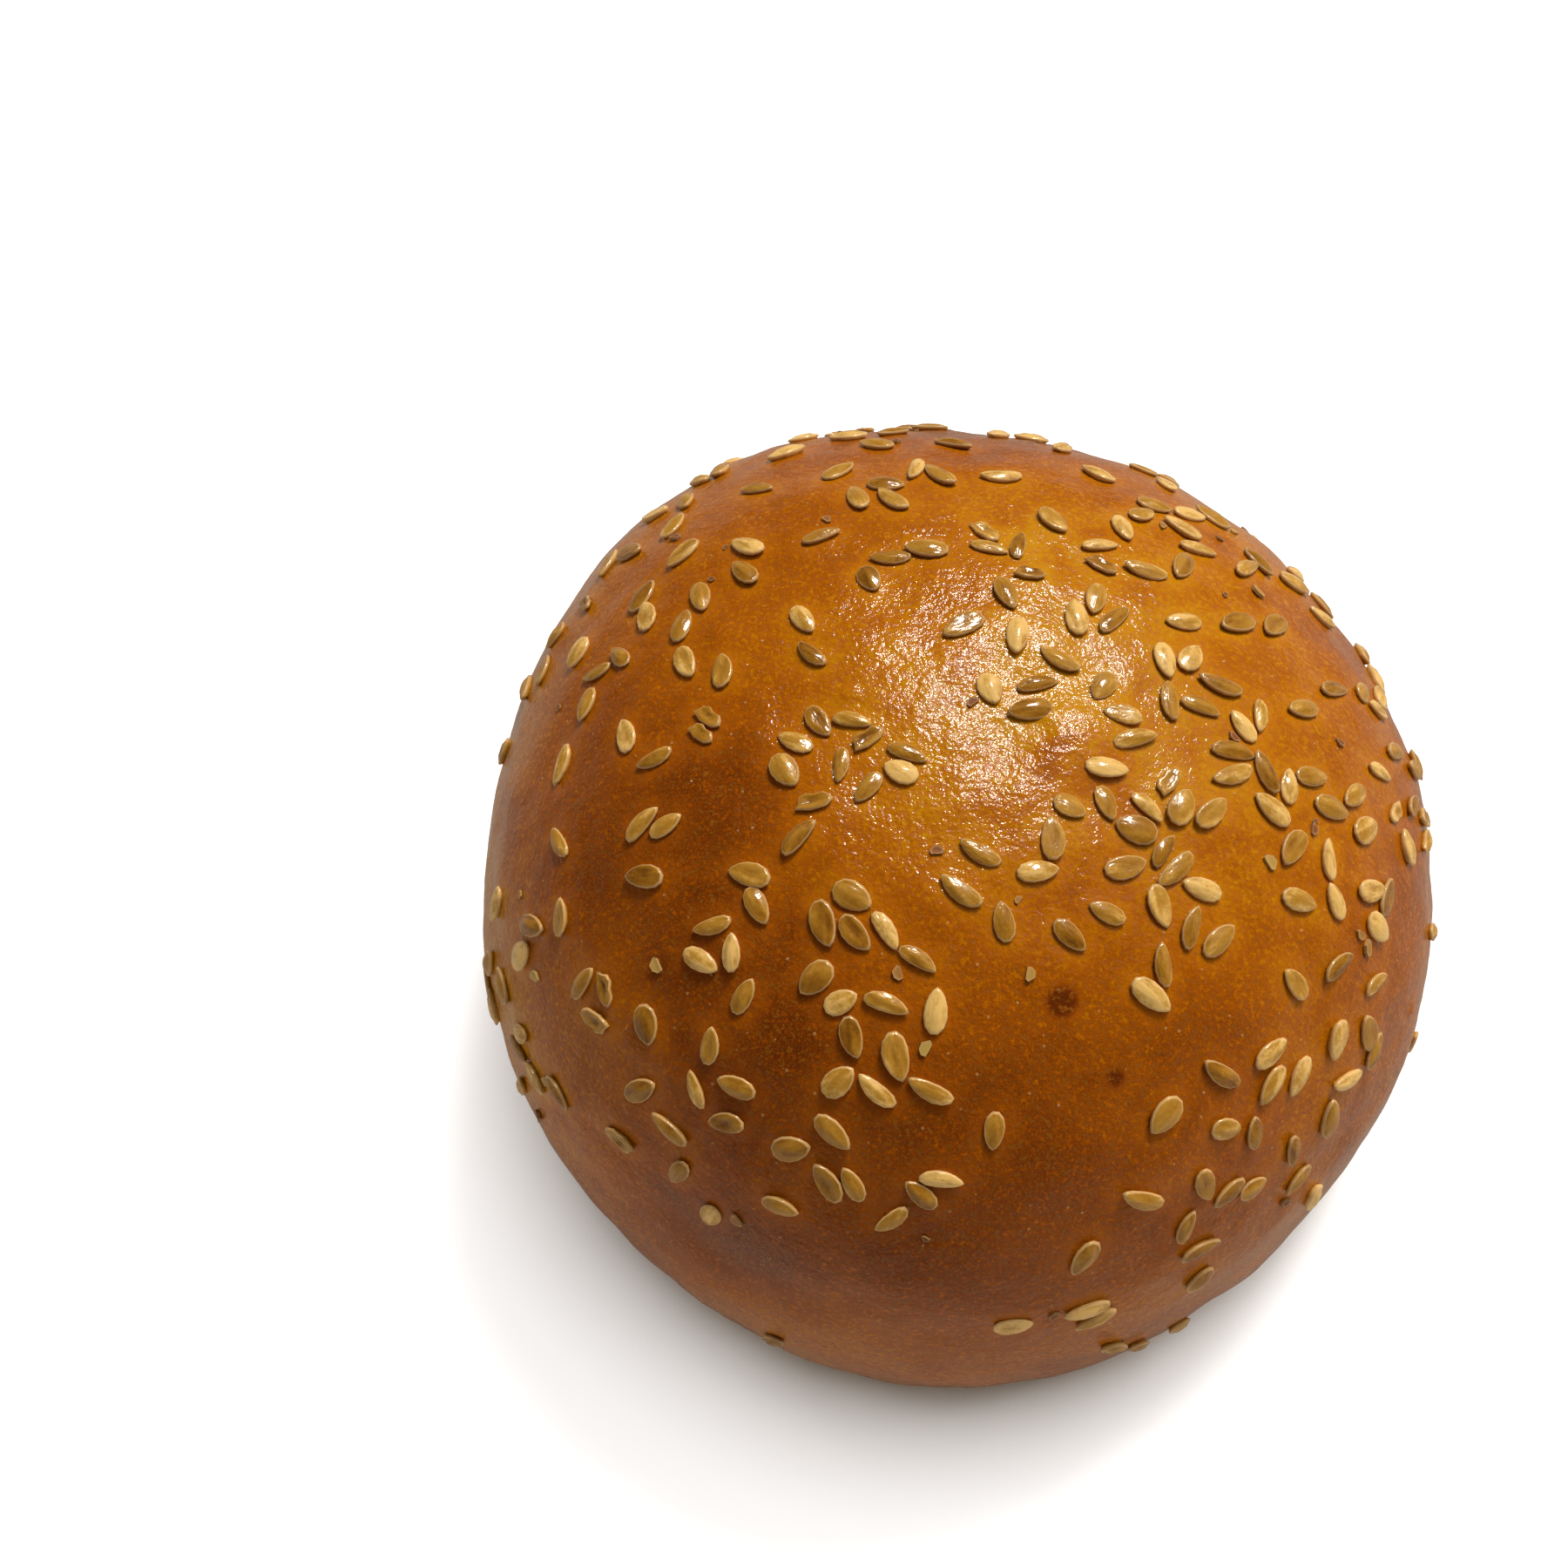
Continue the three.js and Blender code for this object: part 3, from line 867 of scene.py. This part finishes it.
# This one lights the floor alone, from above, so that the roll's shadow stays close round it
lit_floor = bpy.data.collections.new("lit floor")
lit_floor.objects.link(floor)
above_floor = far_lamp("above the floor", (0.02, 0.10, 1.0), 36, 3.3)
above_floor.light_linking.receiver_collection = lit_floor

world = bpy.data.worlds.new("pale room")
bpy.context.scene.world = world
world.use_nodes = True
sky = world.node_tree
way = add_node(sky, "ShaderNodeTexCoord", output="Generated")
up = add_node(sky, "ShaderNodeSeparateXYZ", values=(way,), output="Z")
room = add_node(sky, "ShaderNodeValToRGB", {"stops": [
    (0.0, (0.7, 0.69, 0.68)),
    (0.14, (0.55, 0.55, 0.56)),
    (0.35, (0.20, 0.20, 0.21)),
    (0.6, (0.12, 0.12, 0.12)),
]}, (up,))
dim_room = add_node(sky, "ShaderNodeValToRGB", {"stops": [
    (0.0, (0.18, 0.165, 0.15)),
    (0.14, (0.11, 0.105, 0.10)),
    (0.35, (0.05, 0.05, 0.048)),
    (0.6, (0.03, 0.03, 0.03)),
]}, (up,))
in_glaze = add_node(sky, "ShaderNodeLightPath", output="Is Glossy Ray")
in_view = add_node(sky, "ShaderNodeLightPath", output="Is Camera Ray")
backdrop = blend(sky, in_view, blend(sky, in_glaze, room, dim_room), (1.0, 1.0, 1.0))
background = sky.nodes["Background"]
sky.links.new(backdrop.socket, background.inputs["Color"])
bpy.context.scene.view_settings.view_transform = "Standard"

# Camera: close to the roll, looking down on it from where the photograph was taken. It aims so
# that the roll's middle falls on the same place in the frame.
photo_width, photo_height = 1800, 1799
focal_px = 2200
film_width = 36
nearest_seen = 0.01
camera_rise = radians(63)
camera_distance = 0.1902
roll_middle = Vector(outline_shift) + Vector((0, 0, roll_height / 2))
roll_middle_px = (1082.7, 968.5)

across = (roll_middle_px[0] - photo_width / 2) / focal_px
upwards = (photo_height / 2 - roll_middle_px[1]) / focal_px
towards_roll = Vector((across, upwards, -1)).normalized()
seen_up = (Vector((0, 1, 0)) - towards_roll * towards_roll.y).normalized()
roll_up = seen_up * cos(camera_rise) - towards_roll * sin(camera_rise)
roll_away = seen_up * sin(camera_rise) + towards_roll * cos(camera_rise)
turn = Matrix((roll_away.cross(roll_up), roll_away, roll_up))
camera = bpy.data.objects.new("camera", bpy.data.cameras.new("camera"))
bpy.context.scene.collection.objects.link(camera)
camera.data.sensor_width = film_width
camera.data.lens = focal_px / photo_width * film_width
camera.data.clip_start = nearest_seen
camera_at = roll_middle - turn @ towards_roll * camera_distance
camera.matrix_world = Matrix.Translation(camera_at) @ turn.to_4x4()
bpy.context.scene.camera = camera
